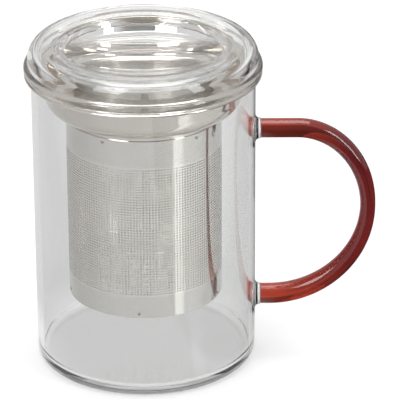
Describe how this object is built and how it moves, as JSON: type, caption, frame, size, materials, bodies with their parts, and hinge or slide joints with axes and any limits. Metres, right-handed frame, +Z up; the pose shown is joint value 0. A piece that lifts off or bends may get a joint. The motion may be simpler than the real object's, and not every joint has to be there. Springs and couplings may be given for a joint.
{
  "type": "lidded tea mug with infuser",
  "caption": "Straight-sided clear glass mug with an amber glass loop handle, a lift-out perforated steel infuser and a dished clear glass lid.",
  "frame": {"origin": "centre of the mug's flat base, on the surface it stands on", "axes": "+Z up along the mug's axis, +X out through the handle, -Y to the front"},
  "size_m": [0.126, 0.085, 0.1215],
  "materials": {
    "clear_glass": "clear borosilicate glass, fire polished",
    "amber_glass": "solid amber-red glass rod, fire polished",
    "polished_steel": "polished stainless sheet",
    "brushed_steel": "satin stainless sheet, etched with fine holes",
    "weld_steel": "dull weld metal"
  },
  "bodies": {
    "mug": {"mug_body": "clear_glass", "handle_rod": "amber_glass", "upper_handle_boss": "clear_glass", "lower_handle_boss": "clear_glass"},
    "infuser": {"infuser_collar": "polished_steel", "infuser_tube": "brushed_steel", "tube_seam_weld": "weld_steel", "infuser_base": "brushed_steel", "collar_spot_welds": "weld_steel", "base_spot_welds": "weld_steel"},
    "lid": {"lid": "clear_glass"}
  },
  "joints": [
    {"name": "infuser_lift", "type": "slide", "parent": "mug", "child": "infuser", "axis": [0, 0, 1], "range_m": [0, 0.095]},
    {"name": "lid_lift", "type": "slide", "parent": "infuser", "child": "lid", "axis": [0, 0, 1], "range_m": [0, 0.05]}
  ]
}
